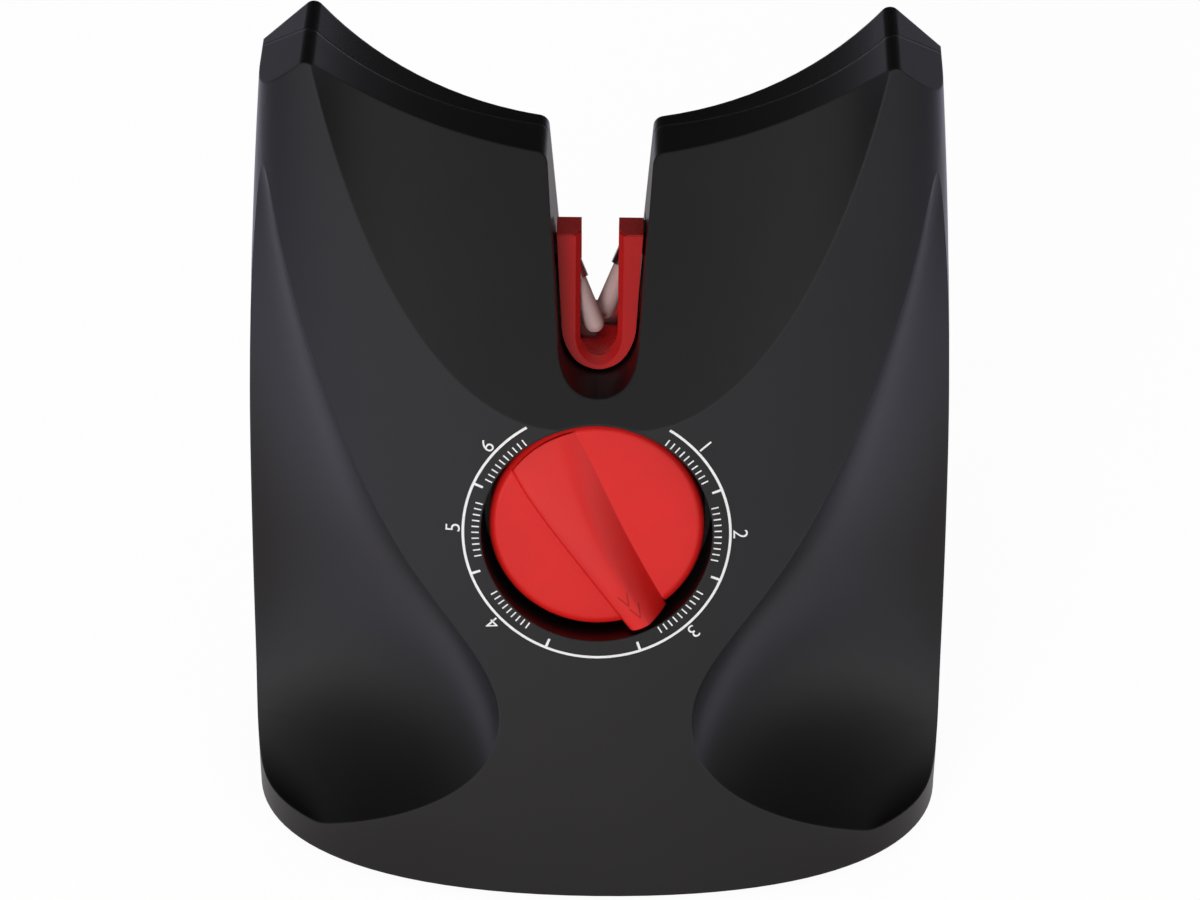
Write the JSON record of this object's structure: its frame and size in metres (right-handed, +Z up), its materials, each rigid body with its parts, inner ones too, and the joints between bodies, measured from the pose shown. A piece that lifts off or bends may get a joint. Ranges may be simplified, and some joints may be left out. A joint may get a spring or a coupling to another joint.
{
  "type": "electric knife sharpener",
  "caption": "Wedge-shaped electric sharpener with a leaning face, hollowed sides, a deep knife slot with crossed ceramic rods in a red guide, and a numbered angle dial.",
  "frame": {"origin": "middle of the footprint, in the plane the rubber feet stand on", "axes": "+Z up, -Y towards the front face and the dial, +X to the right as seen from the front"},
  "size_m": [0.1348, 0.068, 0.1609],
  "materials": {
    "charcoal": "fine satin moulded",
    "black_plastic": "fine matt moulded",
    "red": "satin gloss",
    "red_guide": "satin gloss, faintly translucent look",
    "ceramic": "fine ground fired ceramic",
    "rubber": "matt",
    "steel": "turned, zinc plated",
    "spring_steel": "stamped",
    "zinc": "drawn and plated",
    "ferrite": "sintered, ground",
    "lamination": "stacked laminations",
    "brass": "cut",
    "white_nylon": "moulded",
    "board_green": "laminate with solder mask"
  },
  "bodies": {
    "housing": {"front_housing": "charcoal", "rear_cover": "black_plastic", "base_plate": "black_plastic", "rubber_feet": "rubber", "base_screws": "steel", "rear_screws": "steel", "shaft_bush": "white_nylon", "detent_spring": "spring_steel", "crosshead_guide": "black_plastic", "guide_screws": "steel", "guide_insert": "red_guide", "chassis": "spring_steel", "chassis_screws": "steel", "guide_pins": "steel", "motor_can": "zinc", "motor_cap": "black_plastic", "motor_magnets": "ferrite", "motor_screws": "steel", "gear_axle": "steel", "circuit_board": "board_green", "power_inlet": "black_plastic", "board_parts": "black_plastic", "power_switch": "black_plastic"},
    "dial": {"dial_knob": "red", "dial_shaft": "steel", "cam_disc": "white_nylon"},
    "crosshead": {"crosshead": "white_nylon"},
    "shaker": {"shaker_plate": "spring_steel", "pivot_pins": "steel"},
    "arm_left": {"rod_arm_left": "charcoal", "rod_ferrule_left": "steel", "ceramic_rod_left": "ceramic", "arm_roller_left": "white_nylon"},
    "arm_right": {"rod_arm_right": "charcoal", "rod_ferrule_right": "steel", "ceramic_rod_right": "ceramic", "arm_roller_right": "white_nylon"},
    "rotor": {"armature": "lamination", "motor_shaft": "steel", "drive_pinion": "brass"},
    "gear": {"drive_gear": "white_nylon", "eccentric": "steel"}
  },
  "joints": [
    {"name": "dial_turn", "type": "hinge", "parent": "housing", "child": "dial", "pos_m": [0, -0.01383, 0.07455], "axis": [0, 0.9636, -0.2672], "range_deg": [-105, 165]},
    {"name": "crosshead_slide", "type": "slide", "parent": "housing", "child": "crosshead", "axis": [0, 0.2672, 0.9636], "range_m": [-0.0031, 0.002]},
    {"name": "shaker_slide", "type": "slide", "parent": "housing", "child": "shaker", "axis": [0, 0, 1], "range_m": [-0.0005, 0.0005]},
    {"name": "rod_arm_left_swing", "type": "hinge", "parent": "shaker", "child": "arm_left", "pos_m": [-0.0145, 0.019, 0.1157], "axis": [0, -1, 0], "range_deg": [-1.41, 2.21]},
    {"name": "rod_arm_right_swing", "type": "hinge", "parent": "shaker", "child": "arm_right", "pos_m": [0.0145, 0.019, 0.1157], "axis": [0, 1, 0], "range_deg": [-1.41, 2.21]},
    {"name": "rotor_spin", "type": "hinge", "parent": "housing", "child": "rotor", "pos_m": [0, 0, 0.03], "axis": [0, 1, 0], "continuous": true},
    {"name": "gear_spin", "type": "hinge", "parent": "housing", "child": "gear", "pos_m": [0, 0.024, 0.048], "axis": [0, 1, 0], "continuous": true}
  ],
  "couplings": [
    {"joint": "crosshead_slide", "follows": "dial_turn", "m_per_rad": -0.001061},
    {"joint": "rod_arm_left_swing", "follows": "dial_turn", "ratio": 0.013333},
    {"joint": "rod_arm_right_swing", "follows": "dial_turn", "ratio": 0.013333},
    {"joint": "gear_spin", "follows": "rotor_spin", "ratio": -0.25}
  ]
}
